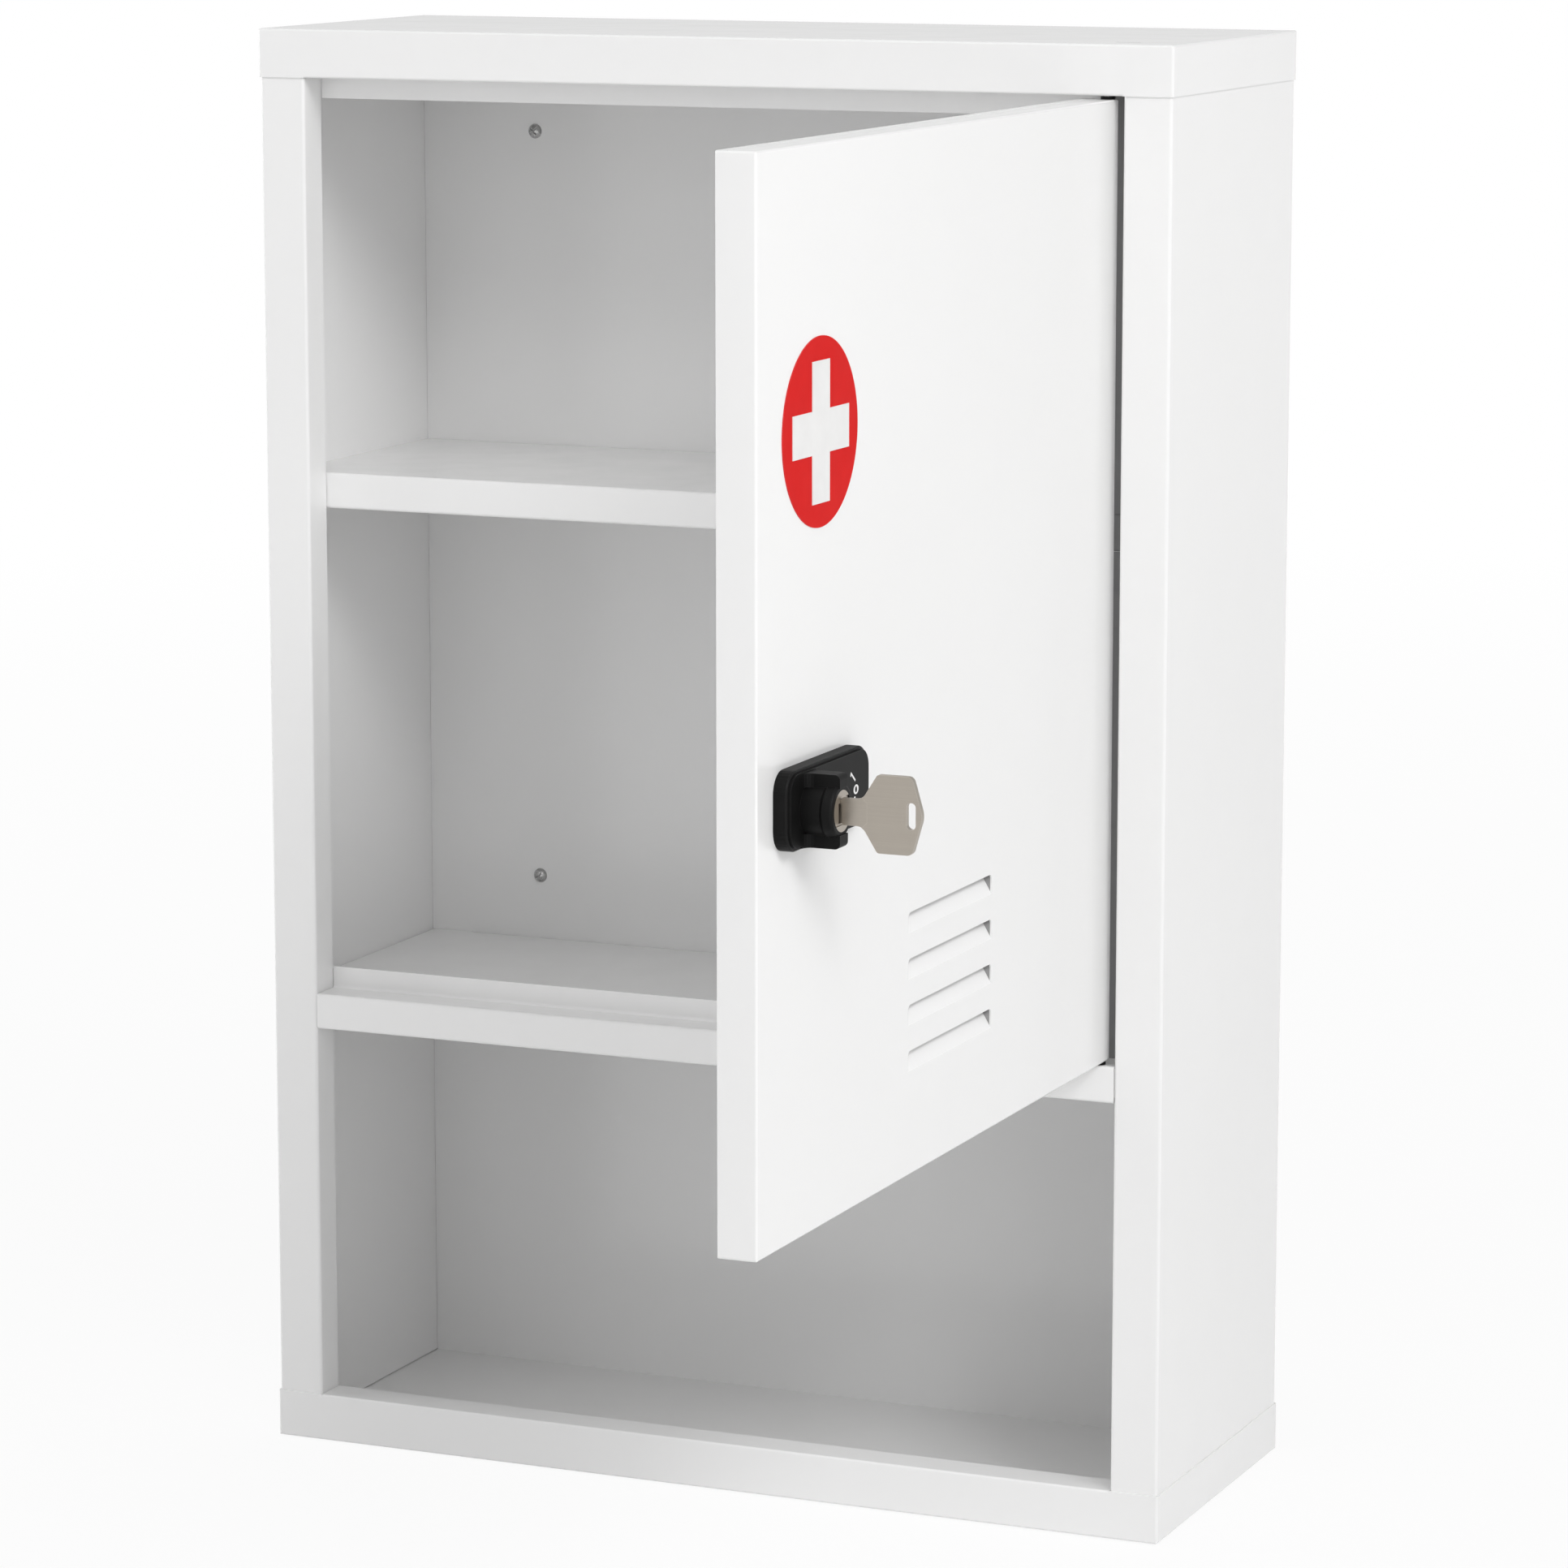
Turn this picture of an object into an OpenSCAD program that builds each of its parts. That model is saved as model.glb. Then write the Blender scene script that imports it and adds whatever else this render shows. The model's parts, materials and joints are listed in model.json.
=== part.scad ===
// Lockable wall cabinet for medicines, in folded sheet steel.
// One door on corner pins, a cam lock with its key, a fixed upper shelf,
// and an open bay under the door.
//
// Frame: x = 0 at the middle of the width, y = 0 at the middle of the depth,
// z = 0 at the underside. The front looks towards -Y and the wall is at +Y.
// The door is drawn as it stands at rest: swung open by rest_open degrees.

/* [Cabinet] */
// Overall width, over the caps
cab_w = 400; // [320:1:520]
// Overall depth, over the caps
cab_d = 150; // [110:1:260]
// Overall height
cab_h = 600; // [540:1:800]

/* [Sheet metal] */
// Thickness of the body and shelf sheet
sheet = 0.8; // [0.6:0.1:1.2]
// Thickness of the cap sheet, which wraps round the body
cap_sheet = 0.6; // [0.5:0.1:1.2]
// Thickness of the two door skins
door_sheet = 0.6; // [0.5:0.1:1.0]
// Inside radius of a bend
bend_r = 0.4; // [0.3:0.1:0.8]

/* [Caps and front frame] */
// Height of the top and bottom caps
cap_h = 20; // [12:0.5:40]
// Width of the left and right stiles on the front
stile_w = 20; // [14:0.5:40]
// Depth of the edge that turns back from the front frame
return_d = 15; // [15:0.5:25]
// Width of the side panels' flanges behind the back panel
back_flange_w = 12; // [8:0.5:30]

/* [Shelves] */
// Height of the divider's top face above the underside
divider_z = 195; // [120:1:220]
// Height of the divider's front rail
rail_h = 15; // [10:0.5:30]
// Height of the upper shelf's top face above the underside
shelf_z = 415; // [405:1:480]
// Height of the upper shelf's front lip
shelf_lip_h = 15; // [8:0.5:25]
// Height of the welding flanges at the shelves' sides and back
shelf_flange_h = 12; // [6:0.5:25]
// Depth of the hem under a rail or lip
hem_d = 8; // [4:0.5:12]

/* [Door stops] */
// How far a stop stands into the door opening
stop_h = 9; // [5:0.5:14]
// Length of the stop's welded leg
stop_leg = 10; // [6:0.5:10.5]

/* [Door] */
// Thickness of the door
door_t = 15; // [14:0.5:15]
// Gap above and below the door
door_gap = 1.5; // [1.2:0.1:3]
// Gap between the closed door and the stile on the hinge side
hinge_gap = 4.8; // [4.4:0.1:8]
// Gap between the closed door and the stile on the lock side
latch_gap = 2.4; // [1.5:0.1:5]
// Outside radius of the door's front edges
door_edge_r = 1; // [0.8:0.1:1.5]
// Corner radius of the door's face on the hinge side
door_corner_r = 2.2; // [1.5:0.1:4]
// Depth of the inner skin's lips along the door's top and bottom edges
inner_lip = 4.2; // [2.5:0.1:6]
// Seam between the two skins along the top and bottom edges
skin_seam = 0.3; // [0.2:0.05:0.6]

/* [Hinges] */
// Diameter of the hinge pins
pin_d = 3; // [2.5:0.1:3.2]
// Distance from the pin's axis to the door's front face
pin_from_face = 3.5; // [3.4:0.1:5]
// Distance from the pin's axis to the door's hinge edge
pin_from_edge = 3; // [2.9:0.1:3.2]
// Diameter of the pins' heads
pin_head_d = 4.6; // [4:0.1:4.8]
// Thickness of the pins' heads
pin_head_t = 1; // [0.6:0.1:2]
// How far a pin reaches into the door
pin_reach = 7; // [5:0.5:9]
// Length and width of the steel blocks that the pins turn in
block_len = 12; // [8:0.5:20]
// Height of the pin blocks
block_h = 9; // [6:0.5:14]
// Diameter of the washers on the pins
washer_d = 5.6; // [5:0.1:5.8]

/* [Louvres] */
// Number of louvres pressed into the door
louvre_n = 4; // [1:1:4]
// Length of a louvre
louvre_len = 83; // [40:1:120]
// Height of a louvre's opening
louvre_h = 7.6; // [5:0.1:10]
// Distance from one louvre to the next
louvre_pitch = 17.2; // [13:0.1:22]
// How deep the top of a louvre is pressed in
louvre_depth = 3; // [2:0.1:5]
// Top of the highest louvre above the door's lower edge
louvre_top = 98.3; // [80:0.1:110]
// Middle of the louvres from the door's free edge
louvre_from_free = 179; // [150:1:200]

/* [Lock] */
// Lock axis from the door's free edge
lock_from_free = 31.5; // [25:0.5:45]
// Lock axis above the door's lower edge
lock_z = 154.6; // [135:0.1:170]
// Length of the lock's escutcheon plate
plate_len = 72; // [60:0.5:90]
// Height of the escutcheon plate
plate_h = 28.4; // [28:0.1:34]
// Middle of the plate above the lock axis
plate_rise = 0.6; // [0:0.1:1]
// Thickness of the escutcheon plate
plate_t = 5.2; // [3:0.1:8]
// Plate's short end from the lock axis
plate_short = 17.8; // [16:0.1:22]
// Corner radius of the plate
plate_corner_r = 8; // [4:0.5:12]
// Height of the raised field on the plate
field_t = 1; // [0.6:0.1:2]
// Outside radius of the barrel
barrel_r = 9; // [8.6:0.1:10]
// Outside radius of the barrel's collar
collar_r = 9.6; // [9.2:0.1:11]
// How far the barrel's front stands off the door
barrel_out = 18.4; // [15:0.1:24]
// Width of the two grip wings
wing_w = 7; // [5:0.5:14]
// Outer faces of the wings from the lock axis
wing_r = 13; // [11.5:0.1:13.2]
// How far the wings' tips stand off the door
wing_out = 19; // [14:0.1:22]
// Radius of the plug's head
plug_head_r = 7.3; // [6.8:0.1:7.6]
// Depth of the plug's head
plug_head_t = 5; // [3:0.1:7]
// Radius of the plug's body
plug_r = 6; // [5.5:0.1:6.4]
// Radius of the lock's shank through the door
shank_r = 8; // [7.5:0.1:8.4]
// How far the shank stands out behind the door
shank_out = 1.2; // [0.6:0.1:3]
// Width across flats of the lock's nut
nut_af = 22; // [19:0.5:26]
// Thickness of the nut
nut_t = 4; // [2.5:0.1:6]

/* [Cam] */
// Reach of the cam from the lock axis
cam_len = 43.5; // [40:0.5:46]
// Width of the cam's arm
cam_w = 13; // [8:0.5:18]
// Thickness of the cam
cam_t = 2; // [1.5:0.1:3]
// Side of the square that drives the cam
drive_w = 6; // [5:0.1:7]
// Diameter of the cam screw
cam_screw_d = 4; // [3:0.1:4.5]
// Diameter of the cam screw's head
cam_head_d = 8.4; // [7.6:0.1:10]

/* [Key] */
// Thickness of the key's blade and neck
key_t = 1.6; // [1.4:0.1:2.2]
// Thickness of the key's bow
bow_t = 2.2; // [2:0.1:3]
// Height of the key's blade
blade_h = 8.4; // [7:0.1:9]
// Length of the blade inside the plug
blade_len = 24; // [18:0.5:28]
// Height of the key's neck
neck_h = 9.5; // [8.6:0.1:10]
// Length of the neck, from the plug to the bow
neck_len = 7.5; // [5:0.1:12]
// Height of the bow
bow_h = 27.4; // [22:0.1:32]
// Length of the whole grip, from the plug to its tip
grip_len = 29.6; // [26:0.1:36]

/* [Label] */
// Diameter of the round first-aid label
label_d = 66.5; // [40:0.5:90]
// Middle of the label from the door's free edge
label_from_free = 54.5; // [47:0.5:70]
// Middle of the label below the door's upper edge
label_from_top = 99.5; // [60:0.5:130]
// Thickness of each of the label's two vinyl layers
label_t = 0.3; // [0.2:0.05:0.5]
// Span of the white cross
cross_span = 49.5; // [30:0.5:60]
// Width of the cross's arms
cross_arm = 15.2; // [8:0.1:24]

/* [Wall screws] */
// Distance between the left and right screws
screw_dx = 290; // [200:1:300]
// Distance between the upper and lower screws
screw_dz = 328; // [311:1:340]
// Upper screws below the cabinet's top
screw_from_top = 49; // [30:1:90]
// Thread diameter of the wall screws
screw_d = 4; // [3.5:0.1:5]
// Diameter of the screws' smooth necks, inside the cabinet
screw_neck_d = 3.2; // [2.6:0.1:3.4]
// Diameter of the screws' heads
screw_head_d = 6.4; // [6:0.1:9]
// Height of the domed heads
screw_head_h = 2.2; // [1.6:0.1:3]
// How far the screws reach beyond the wall plane
screw_out = 25; // [15:1:45]

/* [Clearances] */
// Radial clearance of a turning fit
run_fit = 0.05; // [0.02:0.01:0.1]
// Clearance of a blade or drive in its slot, on each side
slide_fit = 0.1; // [0.05:0.01:0.2]
// Gap between nested sheets that are welded
nest_gap = 0.1; // [0.05:0.05:0.3]
// Gap between the closed door and its stops
stop_gap = 0.5; // [0.5:0.05:1]
// Gap between a moving piece and its neighbour
move_gap = 0.3; // [0.2:0.05:0.5]

/* [Hidden] */
$fn = 64;
hull_fn = 32;
bend_steps = 4;
cut = 1;
rest_open = 90;

// Body planes. The body is smaller than the caps by the cap sheet.
body_x = cab_w / 2 - cap_sheet;
body_y = cab_d / 2 - cap_sheet;
body_z = cap_sheet + bend_r;
inner_x = body_x - sheet;
opening_x = body_x - stile_w;
return_y = -body_y + return_d;
back_y = body_y - sheet;
shelf_x = inner_x - nest_gap;
shelf_back_y = back_y - sheet - nest_gap;
behind_y = return_y + stop_gap;
stop_end = opening_x - stop_h - nest_gap;
frame_x = opening_x - 2 * nest_gap;
header_z = cab_h - cap_h;

// Door, about its pin, as if closed: x towards the stile, y into the cabinet.
door_w = 2 * opening_x - hinge_gap - latch_gap;
door_z0 = divider_z + door_gap;
door_z1 = header_z - door_gap;
door_h = door_z1 - door_z0;
pin_x = opening_x - hinge_gap - pin_from_edge;
pin_y = -body_y + pin_from_face;
free_x = pin_from_edge - door_w;
face_y = -pin_from_face;
hole_r = pin_d / 2 + run_fit;
lock_x = free_x + lock_from_free;

// Lock, outward from the door's face
front_z = barrel_out;
shoulder_z = front_z - plug_head_t;
shank_z = -door_t - shank_out;
cam_z = shank_z - move_gap;
plug_end_z = cam_z - cam_t + slide_fit;
key_z = front_z + move_gap;
keyway_end = key_z - blade_len - 1;

powder_white = [0.93, 0.93, 0.92];
satin_black = [0.10, 0.10, 0.10];
key_nickel = [0.62, 0.59, 0.54];
zinc = [0.70, 0.70, 0.70];
label_red = [0.82, 0.16, 0.17];

// ---- Flat shapes and placing ----

function right_of(a) = [a[1], -a[0]];
function step_dir(path, i) = (path[i + 1] - path[i]) / norm(path[i + 1] - path[i]);
function bend_centre(path, i, r) =
    path[i] + r * (right_of(step_dir(path, i - 1)) + right_of(step_dir(path, i)));
function bend_arc(path, i, centre_r, r) =
    [for (k = [0 : bend_steps])
        let (a = 90 * k / bend_steps)
        bend_centre(path, i, centre_r)
            - r * (cos(a) * right_of(step_dir(path, i - 1)) + sin(a) * right_of(step_dir(path, i)))];

// Outline of a sheet folded by right-hand bends along its outer line.
function folded(path, t, r) =
    let (last = len(path) - 1)
    concat([path[0]],
           [for (i = [1 : last - 1]) each bend_arc(path, i, r + t, r + t)],
           [path[last], path[last] + t * right_of(step_dir(path, last - 1))],
           [for (j = [1 : last - 1])
               let (arc = bend_arc(path, last - j, r + t, r))
               each [for (k = [0 : bend_steps]) arc[bend_steps - k]]],
           [path[0] + t * right_of(step_dir(path, 0))]);

module sheet_profile(path) {
    polygon(folded(path, sheet, bend_r));
}

// A flat shape drawn in y and z, run along x.
module along_x(x0, x1) {
    translate([x0, 0, 0]) rotate([90, 0, 90]) linear_extrude(x1 - x0) children();
}

// A flat shape drawn in x and z, run along y.
module along_y(y0, y1) {
    translate([0, y1, 0]) rotate([90, 0, 0]) linear_extrude(y1 - y0) children();
}

module both_sides() {
    children();
    mirror([1, 0, 0]) children();
}

// Rectangle with its own radius on the left and on the right corners.
module soft_rect(w, h, r_left, r_right) {
    translate([r_left, 0]) square([w - r_left - r_right, h]);
    translate([0, r_left]) square([w - r_right, h - 2 * r_left]);
    translate([w - 2 * r_right, r_right]) square([2 * r_right, h - 2 * r_right]);
    for (y = [r_left, h - r_left]) translate([r_left, y]) circle(r = r_left);
    for (y = [r_right, h - r_right]) translate([w - r_right, y]) circle(r = r_right);
}

// Rectangle centred on x, standing on y = 0, with its lower corners rounded.
module tray_section(w, h, r) {
    translate([-w / 2, r]) square([w, h - r]);
    translate([-w / 2 + r, 0]) square([w - 2 * r, h]);
    for (s = [-1, 1]) translate([s * (w / 2 - r), r]) circle(r = r);
}

// Block with rounded upright edges and a rounded rim round its lower face.
module tray_block(w, d, h, r) {
    intersection() {
        translate([-w / 2, -d / 2, 0]) linear_extrude(h) soft_rect(w, d, r, r);
        along_y(-d / 2 - cut, d / 2 + cut) tray_section(w, h + cut, r);
        along_x(-w / 2 - cut, w / 2 + cut) tray_section(d, h + cut, r);
    }
}

// ---- Cabinet body ----

module side_panel() {
    translate([0, 0, body_z]) linear_extrude(cab_h - 2 * body_z)
        sheet_profile([[body_x - back_flange_w, body_y], [body_x, body_y], [body_x, -body_y],
                       [opening_x, -body_y], [opening_x, return_y]]);
}

module left_side_panel() {
    color(powder_white) mirror([1, 0, 0]) side_panel();
}

module right_side_panel() {
    color(powder_white) side_panel();
}

module screw_places() {
    for (x = [-screw_dx / 2, screw_dx / 2])
        for (z = [cab_h - screw_from_top, cab_h - screw_from_top - screw_dz])
            translate([x, 0, z]) rotate([-90, 0, 0]) children();
}

// Flat panel whose rear edges are eased, to lie in the bends of the side panels.
module back_panel() {
    edge_x = inner_x - nest_gap;
    ease = min(bend_r, 3 * sheet / 4);
    color(powder_white) difference() {
        translate([0, 0, cap_sheet]) linear_extrude(cab_h - 2 * cap_sheet)
            polygon([[-edge_x, back_y - sheet], [edge_x, back_y - sheet],
                     [edge_x, back_y - ease], [edge_x - ease, back_y],
                     [ease - edge_x, back_y], [-edge_x, back_y - ease]]);
        screw_places() cylinder(d = screw_d + 2 * move_gap, h = cab_d);
    }
}

// A tray over the body's end, with its front edge folded back between the stiles.
module cap() {
    fold_h = 3 * cap_sheet;
    difference() {
        tray_block(cab_w, cab_d, cap_h, bend_r + cap_sheet);
        translate([0, 0, cap_sheet])
            tray_block(2 * body_x, 2 * body_y, cap_h, bend_r);
        translate([-frame_x, -cab_d, cap_h - fold_h])
            cube([2 * frame_x, cab_d, cap_h]);
    }
    along_x(-frame_x, frame_x)
        polygon(folded([[-cab_d / 2, cap_h - fold_h], [-cab_d / 2, cap_h], [return_y, cap_h]],
                       cap_sheet, bend_r));
}

module bottom_cap() {
    color(powder_white) cap();
}

module top_cap() {
    color(powder_white) difference() {
        translate([0, 0, cab_h]) mirror([0, 0, 1]) cap();
        translate([pin_x, pin_y, header_z - cut]) cylinder(r = hole_r, h = cap_h / 2);
    }
}

// Side flange of a shelf, from y0 to the back.
module shelf_wing(z, y0) {
    along_y(y0, shelf_back_y)
        sheet_profile([[opening_x - cut, z], [shelf_x, z], [shelf_x, z - shelf_flange_h]]);
}

// Floor of the door bay and rail under the door, notched round the stiles' returns.
module divider_shelf() {
    color(powder_white) difference() {
        union() {
            along_x(-frame_x, frame_x)
                sheet_profile([[-body_y + hem_d, divider_z - rail_h],
                               [-body_y, divider_z - rail_h], [-body_y, divider_z],
                               [shelf_back_y, divider_z],
                               [shelf_back_y, divider_z - shelf_flange_h]]);
            both_sides() shelf_wing(divider_z, behind_y);
        }
        translate([pin_x, pin_y, divider_z - rail_h / 2]) cylinder(r = hole_r, h = rail_h);
    }
}

// Fixed shelf with a folded lip.
module upper_shelf() {
    color(powder_white) {
        along_x(-shelf_x, shelf_x)
            sheet_profile([[behind_y + hem_d, shelf_z - shelf_lip_h],
                           [behind_y, shelf_z - shelf_lip_h], [behind_y, shelf_z],
                           [shelf_back_y, shelf_z], [shelf_back_y, shelf_z - shelf_flange_h]]);
        both_sides() shelf_wing(shelf_z, behind_y + sheet + bend_r);
    }
}

// Angle strip that hangs behind the top of the door opening.
module door_stop_top() {
    leg_z = header_z + cap_sheet + sheet;
    color(powder_white) along_x(-frame_x, stop_end)
        sheet_profile([[behind_y + sheet - stop_leg, leg_z], [behind_y + sheet, leg_z],
                       [behind_y + sheet, header_z - stop_h]]);
}

// Angle strip that stands behind the bottom of the door opening.
module door_stop_bottom() {
    color(powder_white) along_x(-frame_x, stop_end)
        sheet_profile([[behind_y + stop_leg, divider_z], [behind_y, divider_z],
                       [behind_y, divider_z + stop_h]]);
}

// Angle strip behind the stile on the hinge side, welded along the stile's return.
module hinge_stop(z0, z1) {
    leg_x = opening_x + 2 * sheet;
    color(powder_white) translate([0, 0, z0]) linear_extrude(z1 - z0)
        sheet_profile([[opening_x - stop_h, behind_y + sheet], [leg_x, behind_y + sheet],
                       [leg_x, behind_y + sheet - stop_leg]]);
}

module door_stop_hinge_lower() {
    hinge_stop(divider_z, shelf_z - shelf_lip_h - nest_gap);
}

module door_stop_hinge_upper() {
    hinge_stop(shelf_z + nest_gap, header_z + cap_sheet);
}

// ---- Wall screws ----

// Domed head with a cross recess, a neck through the panel, and the thread in the wall.
module wall_screw() {
    head_r = screw_head_d / 2;
    dome_r = (head_r * head_r + screw_head_h * screw_head_h) / (2 * screw_head_h);
    panel_y = back_y - sheet;
    wall_y = cab_d / 2;
    recess_w = 0.9;
    recess_len = 0.6 * screw_head_d;
    tip_d = 0.6;
    difference() {
        translate([0, 0, panel_y]) intersection() {
            translate([0, 0, dome_r - screw_head_h]) sphere(r = dome_r);
            translate([0, 0, -screw_head_h]) cylinder(r = head_r + cut, h = screw_head_h);
        }
        for (a = [45, 135]) rotate([0, 0, a])
            translate([-recess_len / 2, -recess_w / 2, panel_y - screw_head_h - cut])
                cube([recess_len, recess_w, screw_head_h / 2 + cut]);
    }
    translate([0, 0, panel_y]) cylinder(d = screw_neck_d, h = wall_y - panel_y);
    translate([0, 0, wall_y]) cylinder(d = screw_d, h = screw_out - screw_d);
    translate([0, 0, wall_y + screw_out - screw_d]) cylinder(d1 = screw_d, d2 = tip_d, h = screw_d);
}

module wall_screws() {
    color(zinc) screw_places() wall_screw();
}

// ---- Hinges ----

module hinge_pin(reach) {
    cylinder(d = pin_d, h = reach);
    translate([0, 0, -pin_head_t]) cylinder(d = pin_head_d, h = pin_head_t);
}

module hinge_pin_top() {
    reach = cap_sheet + door_gap + pin_reach;
    color(zinc) translate([pin_x, pin_y, header_z + cap_sheet]) mirror([0, 0, 1]) hinge_pin(reach);
}

module hinge_pin_bottom() {
    reach = sheet + door_gap + pin_reach;
    color(zinc) translate([pin_x, pin_y, divider_z - sheet]) hinge_pin(reach);
}

module washer() {
    difference() {
        cylinder(d = washer_d, h = door_gap - move_gap);
        translate([0, 0, -cut]) cylinder(r = hole_r, h = door_gap + 2 * cut);
    }
}

module hinge_washer_bottom() {
    color(satin_black) translate([pin_x, pin_y, divider_z]) washer();
}

// ---- Door ----

module on_door() {
    translate([pin_x, pin_y, 0]) rotate([0, 0, rest_open]) children();
}

module hinge_washer_top() {
    color(satin_black) on_door() translate([0, 0, door_z1]) washer();
}

// A tray lying on its face: outline in x and z, rounded front edges, depth towards +y.
module door_block(inset, depth, edge_r, corner_r) {
    w = door_w - 2 * inset;
    h = door_h - 2 * inset;
    mid_x = free_x + door_w / 2;
    mid_z = door_z0 + door_h / 2;
    intersection() {
        translate([mid_x - w / 2, 0, mid_z - h / 2])
            along_y(face_y + inset, face_y + depth) soft_rect(w, h, edge_r, corner_r);
        translate([mid_x, face_y + inset, door_z0 - cut])
            linear_extrude(door_h + 2 * cut) tray_section(w, depth + cut, edge_r);
        translate([free_x - cut, face_y + inset, mid_z]) rotate([0, 90, 0])
            linear_extrude(door_w + 2 * cut) tray_section(h, depth + cut, edge_r);
    }
}

module louvre_places() {
    for (i = [0 : louvre_n - 1])
        translate([free_x + louvre_from_free - louvre_len / 2, face_y,
                   door_z0 + louvre_top - louvre_h - i * louvre_pitch])
            children();
}

// Opening of one louvre in the skin, with rounded upper corners.
module louvre_cut() {
    r = 2;
    along_y(-cut, door_sheet + cut) {
        square([louvre_len, louvre_h - r]);
        translate([r, 0]) square([louvre_len - 2 * r, louvre_h]);
        for (x = [r, louvre_len - r]) translate([x, louvre_h - r]) circle(r = r);
    }
}

// Pressed flap that slopes inwards from the lower edge, with its two end walls.
module louvre_flap() {
    along_x(0, louvre_len)
        polygon([[0, 0], [louvre_depth, louvre_h], [louvre_depth + door_sheet, louvre_h],
                 [door_sheet, 0]]);
    for (x = [0, louvre_len - door_sheet])
        along_x(x, x + door_sheet) polygon([[0, 0], [0, louvre_h], [louvre_depth, louvre_h]]);
}

module lock_place() {
    translate([lock_x, face_y, door_z0 + lock_z]) rotate([90, 0, 0]) children();
}

module door_outer_skin() {
    seam_y = face_y + door_t - inner_lip - skin_seam;
    color(powder_white) on_door() {
        difference() {
            door_block(0, door_t, door_edge_r, door_corner_r);
            door_block(door_sheet, door_t + cut, max(door_edge_r - door_sheet, 0.1),
                       door_corner_r - door_sheet);
            for (z = [door_z0 - cut, door_z1 - door_sheet - cut])
                translate([free_x + door_sheet, seam_y, z])
                    cube([door_w - 2 * door_sheet, door_t, door_sheet + 2 * cut]);
            louvre_places() louvre_cut();
            lock_place() translate([0, 0, -door_sheet - cut])
                cylinder(r = shank_r + slide_fit, h = door_sheet + 2 * cut);
            for (z = [door_z0 - cut, door_z1 - door_sheet - cut])
                translate([0, 0, z]) cylinder(r = hole_r + slide_fit, h = door_sheet + 2 * cut);
        }
        louvre_places() louvre_flap();
    }
}

// Back skin of the door: a shallow pan with an access hole behind the lock.
module door_inner_skin() {
    x0 = free_x + door_sheet + nest_gap;
    x1 = pin_from_edge - door_sheet - nest_gap;
    back = face_y + door_t;
    lip_y = back - inner_lip;
    wall_d = 2 * inner_lip;
    access_r = nut_af / 2 + 4;
    color(powder_white) on_door() difference() {
        union() {
            translate([x0, back - door_sheet, door_z0]) cube([x1 - x0, door_sheet, door_h]);
            for (z = [door_z0, door_z1 - door_sheet])
                translate([x0, lip_y, z]) cube([x1 - x0, inner_lip, door_sheet]);
            for (x = [x0, x1 - door_sheet])
                translate([x, back - wall_d, door_z0 + 2 * block_h])
                    cube([door_sheet, wall_d, door_h - 4 * block_h]);
        }
        lock_place() translate([0, 0, -door_t - cut]) cylinder(r = access_r, h = door_t);
    }
}

// Steel block that fills the door's corner, bored for the pin.
module hinge_block(z) {
    inset = door_sheet + nest_gap;
    depth = door_t - inner_lip - 2 * door_sheet;
    difference() {
        intersection() {
            translate([pin_from_edge - inset - block_len, face_y + inset, z])
                cube([block_len, depth, block_h]);
            door_block(inset, door_t, max(door_edge_r - inset, 0.1), door_corner_r - inset);
        }
        translate([0, 0, z - cut]) cylinder(r = hole_r, h = block_h + 2 * cut);
    }
}

module hinge_block_top() {
    color(zinc) on_door() hinge_block(door_z1 - door_sheet - block_h);
}

module hinge_block_bottom() {
    color(zinc) on_door() hinge_block(door_z0 + door_sheet);
}

// ---- First-aid label ----

module label_place() {
    translate([free_x + label_from_free, face_y, door_z1 - label_from_top])
        rotate([90, 0, 0]) children();
}

module label_disc() {
    color(label_red) on_door() label_place() cylinder(d = label_d, h = label_t);
}

module label_cross() {
    color("white") on_door() label_place() translate([0, 0, label_t]) {
        translate([-cross_arm / 2, -cross_span / 2, 0]) cube([cross_arm, cross_span, label_t]);
        translate([-cross_span / 2, -cross_arm / 2, 0]) cube([cross_span, cross_arm, label_t]);
    }
}

// ---- Lock ----

// Plate with a soft front edge.
module escutcheon() {
    soft = 0.6;
    x0 = -plate_short + plate_corner_r;
    x1 = plate_len - plate_short - plate_corner_r;
    y1 = plate_h / 2 - plate_corner_r;
    hull() for (x = [x0, x1], y = [-y1, y1]) translate([x, y + plate_rise, 0]) {
        cylinder(r = plate_corner_r, h = plate_t - soft, $fn = hull_fn);
        cylinder(r = plate_corner_r - soft / 3, h = plate_t - soft / 3, $fn = hull_fn);
        cylinder(r = plate_corner_r - soft, h = plate_t, $fn = hull_fn);
    }
}

// Raised field inside the plate's rim.
module plate_field() {
    rim = 1.3;
    r = plate_corner_r - rim;
    h = plate_h - 2 * rim;
    translate([rim - plate_short, plate_rise - h / 2, 0])
        linear_extrude(plate_t + field_t) soft_rect(plate_len - 2 * rim, h, r, r);
}

function arc_pts(cx, cy, r, a0, a1, n) =
    [for (k = [0 : n]) let (a = a0 + (a1 - a0) * k / n) [cx + r * cos(a), cy + r * sin(a)]];

// Round barrel with a rolled collar at its front.
module barrel() {
    base = plate_t;
    roll = (collar_r - plug_head_r - run_fit) / 2;
    flare = 1.2;
    rotate_extrude() polygon(concat(
        [[0, base], [barrel_r, base], [barrel_r, shoulder_z], [collar_r, shoulder_z + flare]],
        arc_pts(collar_r - roll, front_z - roll, roll, 0, 90, 6),
        [[0, front_z]]));
}

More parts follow.
